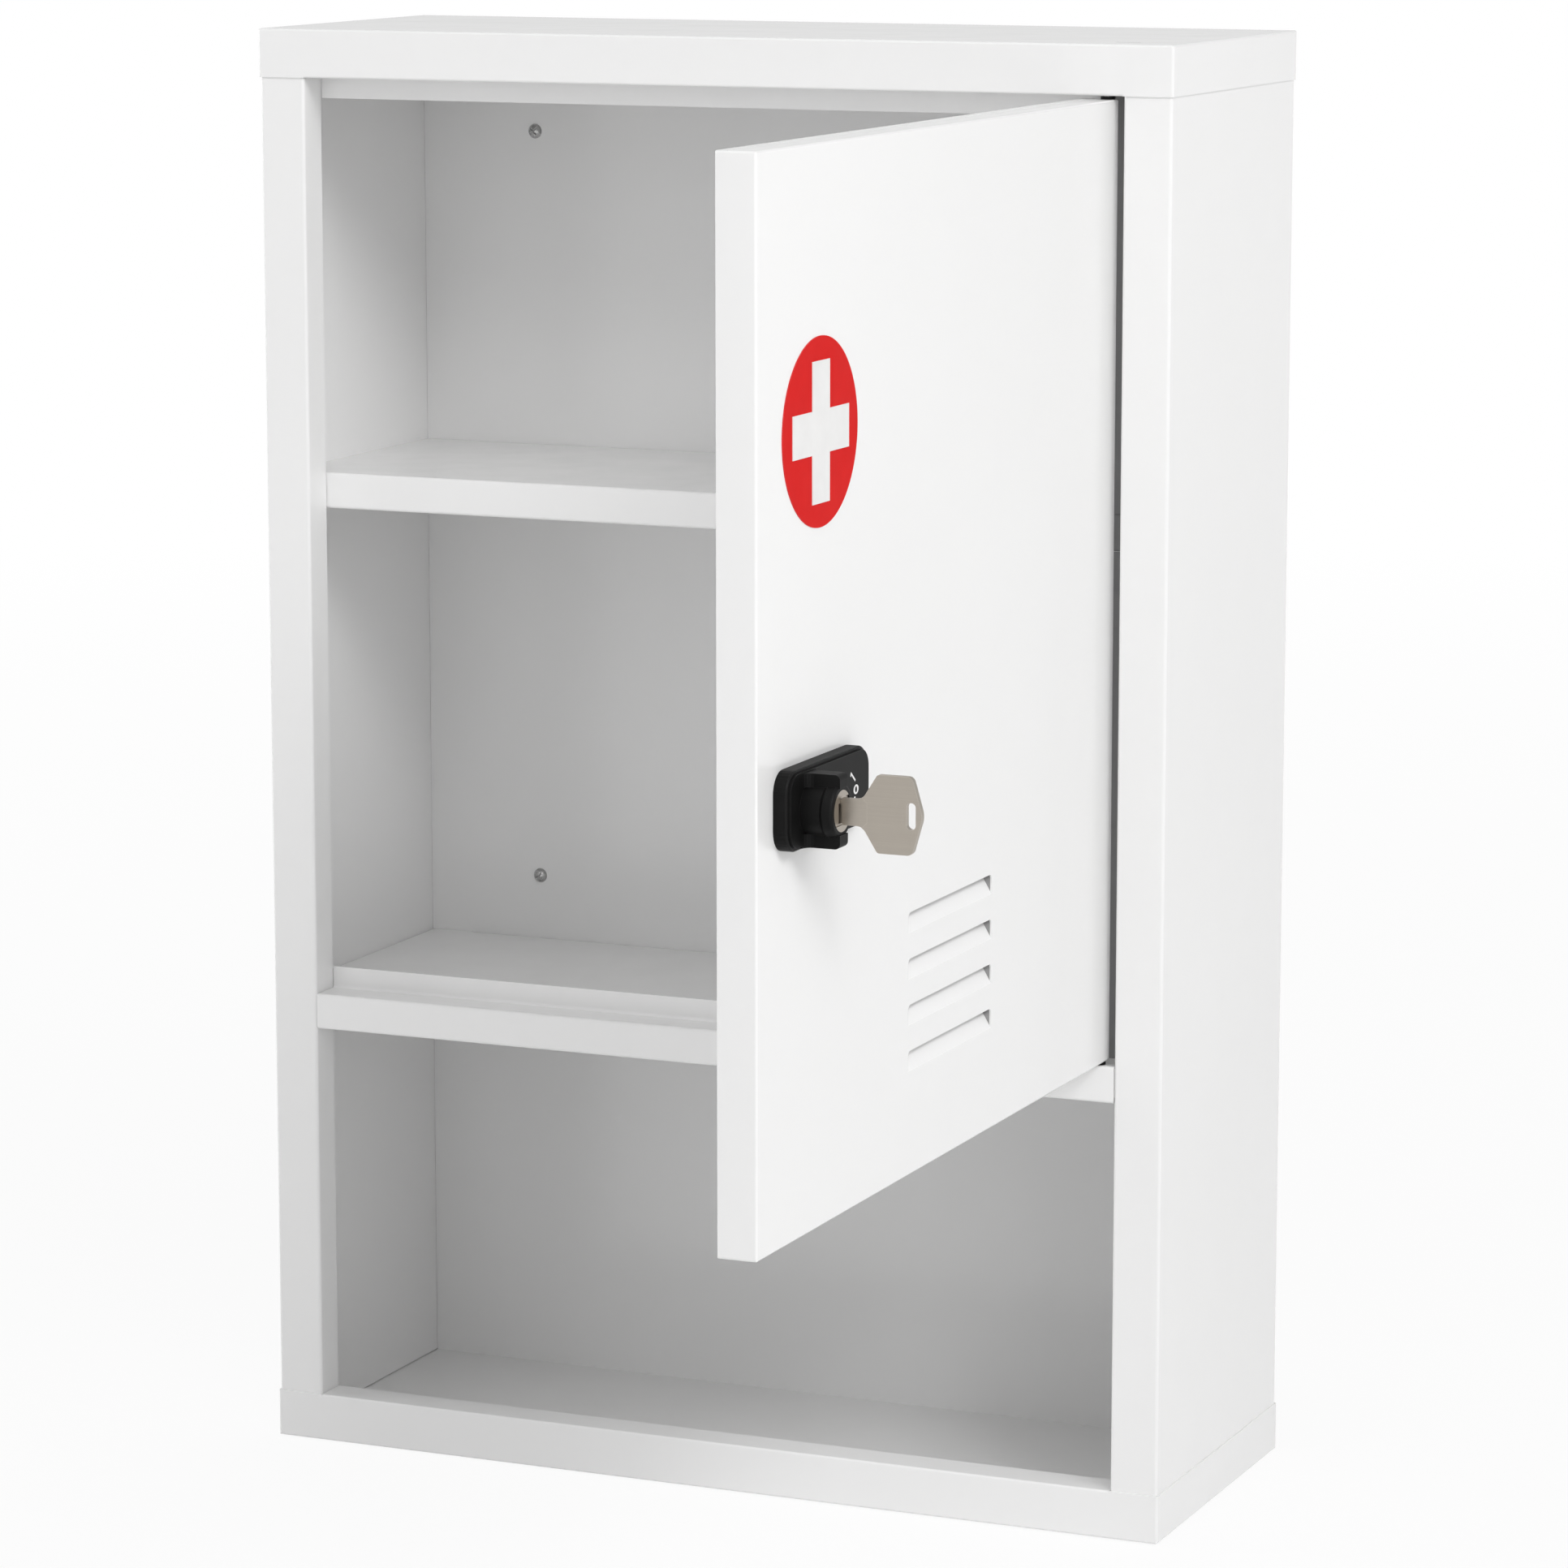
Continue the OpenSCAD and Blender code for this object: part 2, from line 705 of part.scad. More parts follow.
// Wing above or below the barrel, flared where it meets the plate.
module wing(side) {
    tip_r = 2;
    flare = 3;
    low = (plug_head_r + barrel_r) / 2;
    foot = plate_t / 2;
    flare_z = plate_t + field_t + flare;
    intersection() {
        mirror([0, side < 0 ? 1 : 0, 0]) along_x(-plate_short, plate_short) {
            translate([low, foot]) square([wing_r - low, wing_out - foot - tip_r]);
            translate([low, foot]) square([wing_r - low - tip_r, wing_out - foot]);
            translate([wing_r - tip_r, wing_out - tip_r]) circle(r = tip_r);
        }
        along_y(-plate_h, plate_h) polygon(concat(
            arc_pts(-wing_w / 2 - flare, flare_z, flare, -90, 0, 4),
            [[-wing_w / 2, wing_out + cut], [wing_w / 2, wing_out + cut]],
            arc_pts(wing_w / 2 + flare, flare_z, flare, 180, 270, 4),
            [[wing_w / 2 + flare, foot - cut], [-wing_w / 2 - flare, foot - cut]]));
    }
}

module lock_housing() {
    color(satin_black) on_door() lock_place() difference() {
        union() {
            escutcheon();
            plate_field();
            barrel();
            wing(1);
            wing(-1);
            translate([0, 0, shank_z]) cylinder(r = shank_r, h = cut - shank_z);
        }
        translate([0, 0, shank_z - cut]) cylinder(r = plug_r + run_fit, h = front_z - shank_z);
        translate([0, 0, shoulder_z - run_fit]) cylinder(r = plug_head_r + run_fit, h = wing_out);
    }
}

module lock_nut() {
    color(zinc) on_door() lock_place() translate([0, 0, -door_sheet - nut_t]) difference() {
        cylinder(d = nut_af / cos(30), h = nut_t, $fn = 6);
        translate([0, 0, -cut]) cylinder(r = shank_r + slide_fit, h = nut_t + 2 * cut);
    }
}

// Turning core: head with a shallow band across its face, body, square drive for the cam,
// keyway with a ward beside it, and screw hole.
module lock_plug() {
    band_h = neck_h + 4 * slide_fit;
    band_t = 0.5;
    ward_w = 1.3;
    ward_t = 3;
    wall_x = key_t / 2 + slide_fit;
    color(key_nickel) on_door() lock_place() difference() {
        union() {
            translate([0, 0, shoulder_z]) cylinder(r = plug_head_r, h = plug_head_t);
            translate([0, 0, cam_z]) cylinder(r = plug_r, h = shoulder_z - cam_z);
            translate([-drive_w / 2, -drive_w / 2, plug_end_z])
                cube([drive_w, drive_w, cam_z - plug_end_z + cut]);
        }
        translate([-wall_x, -blade_h / 2 - slide_fit, keyway_end])
            cube([2 * wall_x, blade_h + 2 * slide_fit, front_z - keyway_end + cut]);
        translate([-wall_x - ward_w, -blade_h / 2, front_z - ward_t])
            cube([ward_w + wall_x, 5 * blade_h / 6, ward_t + cut]);
        translate([-plug_head_r - cut, -band_h / 2, front_z - band_t])
            cube([2 * (plug_head_r + cut), band_h, band_t + cut]);
        translate([0, 0, plug_end_z - cut])
            cylinder(d = cam_screw_d + 2 * run_fit, h = 3 * cam_screw_d / 2 + cut);
    }
}

// Flat arm that points down at rest and turns behind the stile to lock.
module lock_cam() {
    hub_r = cam_w / 2 + 1.5;
    tip_r = 3;
    color(zinc) on_door() lock_place() translate([0, 0, cam_z - cam_t])
        linear_extrude(cam_t) difference() {
            union() {
                circle(r = hub_r);
                translate([-cam_w / 2, -cam_len + tip_r]) square([cam_w, cam_len - tip_r]);
                translate([-cam_w / 2 + tip_r, -cam_len]) square([cam_w - 2 * tip_r, cam_len]);
                for (s = [-1, 1]) translate([s * (cam_w / 2 - tip_r), -cam_len + tip_r])
                    circle(r = tip_r);
            }
            square(drive_w + 2 * slide_fit, center = true);
        }
}

module cam_screw() {
    head_h = 2.4;
    slot_w = 1;
    under = cam_z - cam_t;
    color(zinc) on_door() lock_place() {
        translate([0, 0, under]) cylinder(d = cam_screw_d, h = 3 * cam_screw_d / 2 - cut);
        difference() {
            translate([0, 0, under - head_h]) cylinder(d = cam_head_d, h = head_h);
            for (a = [0, 90]) rotate([0, 0, a])
                translate([-cam_head_d / 4, -slot_w / 2, under - head_h - cut])
                    cube([cam_head_d / 2, slot_w, cut + head_h / 2]);
        }
    }
}

// ---- Key ----

// Depths of the cuts along the blade, from the tip inwards
bitting = [1.2, 2.0, 0.8, 1.6, 1.2];

// The key's outline lies in the plane of the lock's axis and the upright.
module key_plane(t) {
    rotate([0, -90, 0]) translate([0, 0, -t / 2]) linear_extrude(t) children();
}

// Blade with a pointed tip and its row of cuts along the lower edge.
module blade_outline() {
    tip = 3;
    half = blade_h / 2;
    step = (blade_len - 3 * tip) / len(bitting);
    start = key_z - blade_len;
    polygon(concat(
        [[key_z, half], [start + tip, half], [start, half - tip], [start, tip - half],
         [start + tip - 0.6, -half]],
        [for (i = [0 : len(bitting) - 1])
            let (x = start + tip + i * step)
            each [[x + 0.2 * step, -half], [x + 0.4 * step, bitting[i] - half],
                  [x + 0.6 * step, bitting[i] - half], [x + 0.8 * step, -half]]],
        [[key_z, -half]]));
}

// Neck that flares into a six-sided bow. half is one side of it, from the plug outwards.
module grip_outline() {
    flank = 58;
    lean = 16;
    root_r = 4;
    near_r = 1.4;
    far_r = 2.5;
    tip_r = 7.5;
    tip_x = key_z + grip_len;
    side = bow_h / 2;
    root_x = key_z + neck_len;
    near_x = root_x + (side - neck_h / 2) / tan(flank);
    far_x = tip_x - tip_r * (1 - cos(lean)) - (side - tip_r * sin(lean)) * tan(lean);
    half = concat(
        [[key_z, neck_h / 2]],
        arc_pts(root_x - root_r * tan(flank / 2), neck_h / 2 + root_r, root_r, -90, flank - 90, 6),
        arc_pts(near_x + near_r * tan(flank / 2), side - near_r, near_r, 90 + flank, 90, 4),
        arc_pts(far_x - far_r * tan(45 - lean / 2), side - far_r, far_r, 90, lean, 5));
    polygon(concat(half,
                   arc_pts(tip_x - tip_r, 0, tip_r, lean, -lean, 6),
                   [for (i = [len(half) - 1 : -1 : 0]) [half[i][0], -half[i][1]]]));
}

// Area of the thicker grip: all but the neck, whose end has its corners cut off.
module bow_area() {
    end_x = key_z + neck_len + 1.7;
    end_h = 3.4;
    far_x = key_z + 2 * grip_len;
    polygon([[end_x, -end_h], [end_x, end_h], [end_x - bow_h, end_h + bow_h],
             [far_x, bow_h], [far_x, -bow_h], [end_x - bow_h, -end_h - bow_h]]);
}

module key() {
    slot_r = 1.7;
    slot_half = 3;
    slot_wall = 2.3;
    slot_x = key_z + grip_len - slot_wall - slot_r;
    color(key_nickel) on_door() lock_place() {
        key_plane(key_t) blade_outline();
        difference() {
            union() {
                key_plane(key_t) grip_outline();
                key_plane(bow_t) intersection() {
                    grip_outline();
                    bow_area();
                }
            }
            key_plane(2 * bow_t) {
                translate([slot_x - slot_r, -slot_half]) square([2 * slot_r, 2 * slot_half]);
                for (s = [-1, 1]) translate([slot_x, s * slot_half]) circle(r = slot_r);
            }
        }
    }
}

left_side_panel();
right_side_panel();
back_panel();
top_cap();
bottom_cap();
divider_shelf();
upper_shelf();
door_stop_top();
door_stop_bottom();
door_stop_hinge_lower();
door_stop_hinge_upper();
hinge_pin_top();
hinge_pin_bottom();
hinge_washer_bottom();
wall_screws();
door_outer_skin();
door_inner_skin();
hinge_block_top();
hinge_block_bottom();
hinge_washer_top();
lock_housing();
lock_nut();
label_disc();
label_cross();
lock_plug();
lock_cam();
cam_screw();
key();
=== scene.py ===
"""Looks of the lockable medicine cabinet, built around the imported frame.

The scene is in metres. A constant whose comment says mm is turned into metres where it is used.
"""
import json
import math

import bmesh
import bpy
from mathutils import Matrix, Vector


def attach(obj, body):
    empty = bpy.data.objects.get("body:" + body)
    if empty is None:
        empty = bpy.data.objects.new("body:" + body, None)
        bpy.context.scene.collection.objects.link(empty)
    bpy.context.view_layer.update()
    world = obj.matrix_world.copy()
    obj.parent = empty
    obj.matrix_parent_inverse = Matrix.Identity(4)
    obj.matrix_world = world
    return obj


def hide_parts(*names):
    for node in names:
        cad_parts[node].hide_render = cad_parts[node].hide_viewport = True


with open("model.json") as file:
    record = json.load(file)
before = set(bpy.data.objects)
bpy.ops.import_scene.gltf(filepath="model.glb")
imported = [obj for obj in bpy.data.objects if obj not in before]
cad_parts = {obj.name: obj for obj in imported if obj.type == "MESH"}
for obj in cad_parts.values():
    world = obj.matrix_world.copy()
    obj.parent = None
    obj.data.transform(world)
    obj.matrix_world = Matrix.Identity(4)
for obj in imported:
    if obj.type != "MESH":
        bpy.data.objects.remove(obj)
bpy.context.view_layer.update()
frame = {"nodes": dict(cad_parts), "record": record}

MM = 0.001
nodes = frame["nodes"]
scene = bpy.context.scene


# ---- Objects and meshes ----

SMOOTH_ANGLE = 35.0  # degrees; an edge sharper than this stays sharp
COPY_ANGLE = 20.0    # the same, for the copy of a sheet-metal node
WELD = 1e-6          # m; points closer than this become one


def new_object(name, data):
    """A new object in the scene, with a mesh, lamp or camera as its data."""
    obj = bpy.data.objects.new(name, data)
    scene.collection.objects.link(obj)
    return obj


def aim(obj, direction):
    """Points a camera or lamp along a direction."""
    obj.rotation_mode = "QUATERNION"
    obj.rotation_quaternion = direction.to_track_quat("-Z", "Y")


def mesh_object(name, verts=(), faces=()):
    """A flat-shaded mesh object from plain lists of points and faces."""
    mesh = bpy.data.meshes.new(name)
    mesh.from_pydata([Vector(v) for v in verts], [], list(faces))
    mesh.validate()
    mesh.update()
    return new_object(name, mesh)


def edited(obj, change):
    """The same object, after change(bm) has worked on its mesh."""
    bm = bmesh.new()
    bm.from_mesh(obj.data)
    change(bm)
    bm.to_mesh(obj.data)
    bm.free()
    return obj


def soften(obj, angle=SMOOTH_ANGLE):
    """Smooth shading that keeps the sharp edges sharp."""

    def change(bm):
        for face in bm.faces:
            face.smooth = True
        for edge in bm.edges:
            edge.smooth = edge.calc_face_angle(math.pi) < math.radians(angle)

    return edited(obj, change)


def outward(obj):
    """Turns every face of a closed mesh outwards."""
    return edited(obj, lambda bm: bmesh.ops.recalc_face_normals(bm, faces=bm.faces))


def welded(obj):
    """Joins the points that lie on each other."""
    return edited(obj, lambda bm: bmesh.ops.remove_doubles(bm, verts=bm.verts, dist=WELD))


def extruded(name, outline, place, depth):
    """A flat outline of (a, b) pairs given some depth; place(a, b, d) gives each point."""
    n = len(outline)
    verts = [place(a, b, d) for d in (0.0, depth) for a, b in outline]
    faces = [tuple(range(n)), tuple(range(2 * n - 1, n - 1, -1))]
    faces += [(i, i + n, (i + 1) % n + n, (i + 1) % n) for i in range(n)]
    return outward(mesh_object(name, verts, faces))


def ring(name, outer, inner, place, depth):
    """A flat ring between two outlines with the same number of points."""
    n = len(outer)
    verts = [place(a, b, d) for d in (0.0, depth) for loop in (outer, inner) for a, b in loop]
    faces = []
    for i in range(n):
        j = (i + 1) % n
        faces += [(i, j, n + j, n + i), (2 * n + i, 3 * n + i, 3 * n + j, 2 * n + j),
                  (i, 2 * n + i, 2 * n + j, j), (n + i, n + j, 3 * n + j, 3 * n + i)]
    return outward(mesh_object(name, verts, faces))


def joined(name, parts):
    """One object of several closed solids."""

    def gather(bm):
        for part in parts:
            bm.from_mesh(part.data)
            bpy.data.objects.remove(part)

    return edited(mesh_object(name), gather)


def copy_less(name, node, cutter):
    """A new piece: a welded copy of a CAD node's mesh with the cutter taken away."""
    piece = welded(new_object(name, nodes[node].data.copy()))
    cut = piece.modifiers.new("cut", "BOOLEAN")
    cut.operation, cut.solver, cut.object = "DIFFERENCE", "EXACT", cutter
    cut.use_self = True
    bpy.context.view_layer.update()
    whole = piece.evaluated_get(bpy.context.evaluated_depsgraph_get())
    mesh = bpy.data.meshes.new_from_object(whole)
    piece.modifiers.clear()
    piece.data = mesh
    mesh.materials.clear()
    bpy.data.objects.remove(cutter)
    return soften(piece, COPY_ANGLE)


def arc(y, z, radius, start, end, steps=6):
    """Points on an arc round (y, z), between two angles in degrees."""
    angles = [math.radians(start + (end - start) * i / steps) for i in range(steps + 1)]
    return [(y + radius * math.cos(a), z + radius * math.sin(a)) for a in angles]


def ellipse(a, b, count=40):
    """Points on an ellipse with half axes a and b."""
    angles = [2 * math.pi * i / count for i in range(count)]
    return [(a * math.cos(t), b * math.sin(t)) for t in angles]


# ---- Node trees ----

NOISE_MID = (0.3, 0.7)         # range that holds nearly all of a noise's values
EDGE_TURN = (0.0004, 0.02)     # 1 - cosine of the rounded normal's turn: edge starts, edge full


def grey(v, warm=0.0):
    """A grey of linear value v, slightly warm if asked."""
    return (v, v * (1 - warm), v * (1 - 2 * warm), 1.0)


WHITE = grey(1.0)


class Nodes:
    """A short way to write the nodes of a material or a world."""

    def __init__(self, owner, output="ShaderNodeOutputMaterial"):
        owner.use_nodes = True
        self.owner = owner
        self.tree = owner.node_tree
        self.tree.nodes.clear()
        self.out = self.add(output)
        self.coords = self.add("ShaderNodeTexCoord").outputs

    def add(self, kind, **values):
        node = self.tree.nodes.new(kind)
        for key, value in values.items():
            setattr(node, key, value)
        return node

    def feed(self, socket, value):
        """Links another node's output to a socket, or writes a constant on it."""
        if isinstance(value, bpy.types.NodeSocket):
            self.tree.links.new(value, socket)
        else:
            socket.default_value = value

    def fill(self, kind, sockets, **values):
        """A new node with its sockets fed."""
        node = self.add(kind, **values)
        for key, value in sockets.items():
            self.feed(node.inputs[key], value)
        return node

    def noise(self, scale, detail=2.0, rough=0.5, vector=None):
        sockets = {"Vector": vector or self.coords["Object"], "Scale": scale, "Detail": detail,
                   "Roughness": rough}
        return self.fill("ShaderNodeTexNoise", sockets).outputs["Fac"]

    def ramp(self, value, low, high, start=0.0, end=1.0):
        """Maps low..high of a value to start..end, and holds it there beyond."""
        sockets = {"Value": value, "From Min": low, "From Max": high, "To Min": start,
                   "To Max": end}
        return self.fill("ShaderNodeMapRange", sockets).outputs["Result"]

    def spread(self, noise, start=0.0, end=1.0):
        """The middle of a noise's range, spread over start..end."""
        return self.ramp(noise, *NOISE_MID, start, end)

    def math(self, operation, a, b):
        return self.fill("ShaderNodeMath", {0: a, 1: b}, operation=operation).outputs["Value"]

    def mix(self, factor, a, b):
        sockets = {"Factor": factor, "A": a, "B": b}
        return self.fill("ShaderNodeMix", sockets, data_type="RGBA").outputs["Result"]

    def worn(self, colour, tone, mask, share):
        """A colour that turns towards a tone where the mask is 1, by a share."""
        return self.mix(self.math("MULTIPLY", mask, share), colour, tone)

    def edges(self, radius):
        """1 along convex and concave edges, 0 on flat faces."""
        rounded = self.fill("ShaderNodeBevel", {"Radius": radius}, samples=4).outputs["Normal"]
        true = self.add("ShaderNodeNewGeometry").outputs["Normal"]
        dot = self.fill("ShaderNodeVectorMath", {0: rounded, 1: true}, operation="DOT_PRODUCT")
        start, full = EDGE_TURN
        return self.ramp(dot.outputs["Value"], 1.0 - start, 1.0 - full)

    def bump(self, height, distance, strength):
        sockets = {"Distance": distance, "Strength": strength, "Height": height}
        return self.fill("ShaderNodeBump", sockets).outputs["Normal"]

    def surface(self, shader):
        self.feed(self.out.inputs["Surface"], shader)

    def principled(self, **sockets):
        """The main shader; an underscore in a keyword stands for a space."""
        named = {key.replace("_", " "): value for key, value in sockets.items()}
        self.surface(self.fill("ShaderNodeBsdfPrincipled", named).outputs["BSDF"])

    def sees_white(self):
        """1 for camera, glossy and transmission rays."""
        path = self.add("ShaderNodeLightPath").outputs
        total = path["Is Camera Ray"]
        for key in ("Is Glossy Ray", "Is Transmission Ray"):
            total = self.math("MAXIMUM", total, path[key])
        return total


# ---- Materials ----

SHADE_TONE, SHADE_STEP = 0.30, 0.03  # dark grey of painted shade, for the hinge gap and the louvres' end webs, and its drift

# The strip behind the gap beside the hinge, turned dark grey as painted shade
GAP_X = (0.1700, 0.1805)
GAP_Y = (-0.0590, -0.0569)

NICKEL_LOW, NICKEL_HIGH = (0.405, 0.368, 0.322, 1.0), (0.425, 0.386, 0.338, 1.0)
NICKEL_EDGE = (0.66, 0.62, 0.57, 1.0)
DRAWN_SCALE = (20.0, 3000.0, 3000.0)  # lines per metre: long along X, fine across
RED_LOW, RED_HIGH = (0.63, 0.0138, 0.0128, 1.0), (0.66, 0.0150, 0.0140, 1.0)
PRINT_LOW, PRINT_HIGH = grey(0.79, warm=0.006), grey(0.82, warm=0.006)


def powder_coat(name, low, high):
    """Satin powder coat: faint orange peel and tone drift, edges rubbed a little.

    The strip behind the hinge gap is turned dark grey as painted shade, wherever a piece with
    this coat lies there."""
    n = Nodes(bpy.data.materials.new(name))
    drift = n.spread(n.noise(scale=5.0, detail=3.0))
    colour = n.mix(drift, grey(low, warm=0.002), grey(high, warm=0.002))

    patches = n.ramp(n.noise(scale=60.0, detail=4.0, rough=0.7), 0.50, 0.75)
    rubbed = n.math("MULTIPLY", n.edges(radius=0.00025), patches)
    colour = n.worn(colour, grey(0.76, warm=0.01), rubbed, share=0.15)

    at = n.fill("ShaderNodeSeparateXYZ", {"Vector": n.coords["Object"]}).outputs
    gap_shade = n.math("MULTIPLY",
                    n.math("MULTIPLY", n.math("GREATER_THAN", at["X"], GAP_X[0]),
                           n.math("LESS_THAN", at["X"], GAP_X[1])),
                    n.math("MULTIPLY", n.math("GREATER_THAN", at["Y"], GAP_Y[0]),
                           n.math("LESS_THAN", at["Y"], GAP_Y[1])))
    # painted shade: the strip behind the hinge gap becomes dark grey
    colour = n.mix(gap_shade, colour, grey(SHADE_TONE))

    peel = n.bump(n.noise(scale=700.0), distance=0.00003, strength=0.25)
    rough = n.spread(n.noise(scale=30.0, detail=4.0), 0.22, 0.27)
    n.principled(Base_Color=colour, Roughness=rough, Specular_IOR_Level=0.5, Coat_Weight=0.25,
                 Coat_Roughness=0.14, Normal=peel)
    return n.owner


def bright_zinc(name):
    """Zinc plate: crystal spangle, a fine uneven surface, rubbed edges."""
    n = Nodes(bpy.data.materials.new(name))
    cells = n.fill("ShaderNodeTexVoronoi", {"Vector": n.coords["Object"], "Scale": 420.0})
    spangle = n.ramp(cells.outputs["Distance"], 0.0, 0.9)
    tone = n.mix(spangle, grey(0.40, warm=0.006), grey(0.50, warm=0.004))
    tone = n.worn(tone, grey(0.70), n.edges(radius=0.0003), share=0.5)
    rough = n.spread(n.noise(scale=260.0, detail=4.0), 0.20, 0.34)
    grain = n.bump(n.noise(scale=900.0, detail=3.0), distance=0.00003, strength=0.4)
    n.principled(Base_Color=tone, Metallic=1.0, Roughness=rough, Normal=grain)
    return n.owner


def satin_nickel(name):
    """Satin nickel plate with fine drawn lines along the key."""
    n = Nodes(bpy.data.materials.new(name))
    drawn = n.fill("ShaderNodeMapping", {"Vector": n.coords["Object"], "Scale": DRAWN_SCALE})
    lines = n.noise(scale=1.0, detail=4.0, vector=drawn.outputs["Vector"])
    tone = n.mix(n.spread(lines), NICKEL_LOW, NICKEL_HIGH)
    tone = n.worn(tone, NICKEL_EDGE, n.edges(radius=0.00025), share=0.45)
    rough = n.spread(n.noise(scale=300.0, detail=5.0), 0.34, 0.42)
    n.principled(Base_Color=tone, Metallic=1.0, Roughness=rough,
                 Normal=n.bump(lines, distance=0.00001, strength=0.3))
    return n.owner


def moulded_black(name):
    """Black moulded plastic with a fine eroded grain and slightly polished edges."""
    n = Nodes(bpy.data.materials.new(name))
    edge = n.edges(radius=0.0004)
    tone = n.mix(n.spread(n.noise(scale=90.0, detail=3.0)), grey(0.0045), grey(0.0065))
    tone = n.worn(tone, grey(0.020), edge, share=0.5)
    rough = n.ramp(edge, 0.0, 1.0, 0.50, 0.38)
    grain = n.bump(n.noise(scale=1500.0, detail=3.0), distance=0.00003, strength=0.5)
    n.principled(Base_Color=tone, Roughness=rough, Specular_IOR_Level=0.11, Normal=grain)
    return n.owner


def printed_vinyl(name, low, high, specular):
    """Printed vinyl, with a faint mottle in tone, gloss and surface, pale at its cut edge."""
    n = Nodes(bpy.data.materials.new(name))
    ink = n.mix(n.spread(n.noise(scale=120.0, detail=4.0)), low, high)
    colour = n.worn(ink, grey(0.85), n.edges(radius=0.0001), share=0.25)
    gloss = n.spread(n.noise(scale=45.0, detail=3.0), 0.36, 0.45)
    n.principled(Base_Color=colour, Roughness=gloss, Specular_IOR_Level=specular,
                 Normal=n.bump(n.noise(scale=800.0), distance=0.00002, strength=0.4))
    return n.owner


materials = {
    "powder_coat": powder_coat("powder_coat", 0.846, 0.858),
    # painted shade: a dark grey coat for the recessed louvre end webs
    "painted_shade_coat": powder_coat("painted_shade_coat", SHADE_TONE, SHADE_TONE + SHADE_STEP),
    # painted light: a paler copy of the powder coat, for the upward-facing louvre flaps
    "painted_light_coat": powder_coat("painted_light_coat", 0.925, 0.94),
    "zinc_steel": bright_zinc("zinc_steel"),
    "nickel": satin_nickel("nickel"),
    "black_plastic": moulded_black("black_plastic"),
    "label_red": printed_vinyl("label_red", RED_LOW, RED_HIGH, specular=0.02),
    "label_white": printed_vinyl("label_white", PRINT_LOW, PRINT_HIGH, specular=0.06),
}

slot_of = {s["node"]: s["material_slot"] for s in frame["record"]["subparts"]}
for node_name, node in nodes.items():
    node.data.materials.clear()
    node.data.materials.append(materials[slot_of[node_name]])


def finish_piece(obj, body, slot, finish=None):
    """Gives a new piece its material, named by its finish or else by its record slot, and its
    body.
    """
    obj.data.materials.append(materials[finish or slot])
    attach(obj, body)


# ---- Outer skin of the door, with louvres pressed as deep as the photograph shows ----

# All in mm. The door stands open, so its face looks along +X and its width runs along Y.
SKIN_OUT, SKIN_T = 175.1, 0.6        # outer face and thickness of the skin
CAD_FLAP_T = 4.5                     # depth that holds the source's shallower flaps
LOUVRE_Y0, LOUVRE_Y1 = -282.0, -199.0
LOUVRE_H, LOUVRE_R, LOUVRE_DEPTH = 7.6, 2.0, 4.4
TOP_FOOT, LOUVRE_STEP, LOUVRE_COUNT = 287.2, 17.2, 4
LOUVRE_FEET = [TOP_FOOT - LOUVRE_STEP * i for i in range(LOUVRE_COUNT)]
SLACK, WEB_T = 0.02, 0.3             # gap round a flap, thickness of its end webs
CUT_T = 2.05 * SKIN_T                # deep enough to pass right through the skin
LIP_X, LIP_Z, ROOT_X = 0.7 * SKIN_T, 0.4 * SKIN_T, 1.2 * SKIN_T  # flap's thickness, lip and root

# Sections of a flap and of a web: (depth behind the skin's face, height above the foot)
FLAP = [(0, -SLACK), (LOUVRE_DEPTH, LOUVRE_H), (LOUVRE_DEPTH + LIP_X, LOUVRE_H - LIP_Z),
        (ROOT_X, -SLACK)]
WEB = [(SKIN_T, 0.2), (SKIN_T, LOUVRE_H), (LOUVRE_DEPTH, LOUVRE_H),
       (LOUVRE_DEPTH + 0.3, LOUVRE_H - 0.3)]


def across_door(x):
    """Places (y, z) outlines at a depth from x towards the inside of the door, in mm."""
    return lambda y, z, d: Vector((x * MM - d, y * MM, z * MM))


def along_louvre(foot, y):
    """Places (depth, height) outlines of a louvre at y, in mm; the length runs along +Y."""
    return lambda a, b, d: Vector(((SKIN_OUT - a) * MM, y * MM + d, (foot + b) * MM))


def opening(foot, rounded):
    """Outline of a louvre's opening, a hair larger than its flap."""
    y0, y1, top = LOUVRE_Y0 - SLACK, LOUVRE_Y1 + SLACK, foot + LOUVRE_H + SLACK
    foot_line = [(y0, foot - SLACK), (y1, foot - SLACK)]
    if not rounded:
        return foot_line + [(y1, top), (y0, top)]
    return (foot_line + arc(y1 - LOUVRE_R, top - LOUVRE_R, LOUVRE_R, 0, 90)
            + arc(y0 + LOUVRE_R, top - LOUVRE_R, LOUVRE_R, 90, 180))


cuts = [extruded("cut", opening(foot, rounded=True), across_door(SKIN_OUT + SKIN_T), CUT_T * MM)
        for foot in LOUVRE_FEET]
cuts += [extruded("cut", opening(foot, rounded=False), across_door(SKIN_OUT - SKIN_T),
                  CAD_FLAP_T * MM) for foot in LOUVRE_FEET]
door_front = copy_less("door_front_skin", "door_outer_skin", joined("louvre_cuts", cuts))
finish_piece(door_front, "door", "powder_coat")
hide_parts("door_outer_skin")

flaps = [extruded("flap", FLAP, along_louvre(foot, LOUVRE_Y0), (LOUVRE_Y1 - LOUVRE_Y0) * MM)
         for foot in LOUVRE_FEET]
# the flaps wear the paler coat of painted light
finish_piece(joined("louvre_flaps", flaps), "door", "powder_coat", "painted_light_coat")

webs = [extruded("web", WEB, along_louvre(foot, y), WEB_T * MM)
        for foot in LOUVRE_FEET for y in (LOUVRE_Y0 - SLACK - WEB_T, LOUVRE_Y1 + SLACK)]
